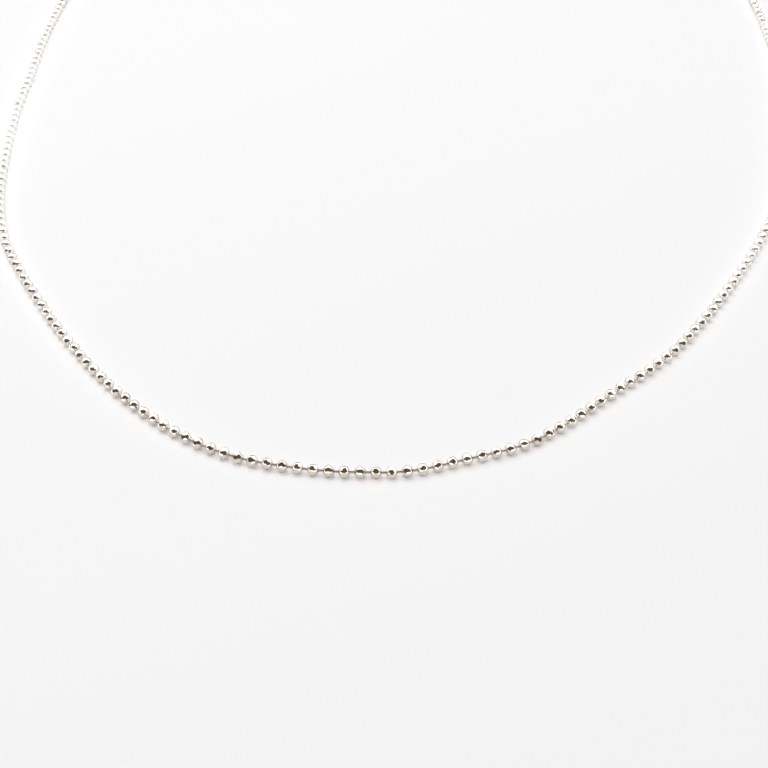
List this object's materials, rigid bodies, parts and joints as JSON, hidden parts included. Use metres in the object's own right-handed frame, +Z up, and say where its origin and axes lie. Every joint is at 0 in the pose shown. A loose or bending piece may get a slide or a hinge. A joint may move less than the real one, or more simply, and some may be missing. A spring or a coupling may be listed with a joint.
{
  "type": "ball chain necklace",
  "caption": "Fine necklace of small faceted silver-coloured balls on short link wires, closed by a plain sleeve clasp and laid flat in a rounded loop.",
  "frame": {"origin": "on the surface that the necklace lies on, under the middle of the loop", "axes": "+Y from the front of the loop to the clasp at the back, +X to the right as seen from the front, +Z up"},
  "size_m": [0.1146, 0.168, 0.0019],
  "materials": {
    "cut_silver": "bright rhodium-white silver, diamond-cut into small mirror facets",
    "clasp_silver": "polished silver with fine handling marks"
  },
  "bodies": {
    "root": {"ball_chain": "cut_silver", "clasp": "clasp_silver"}
  },
  "joints": []
}
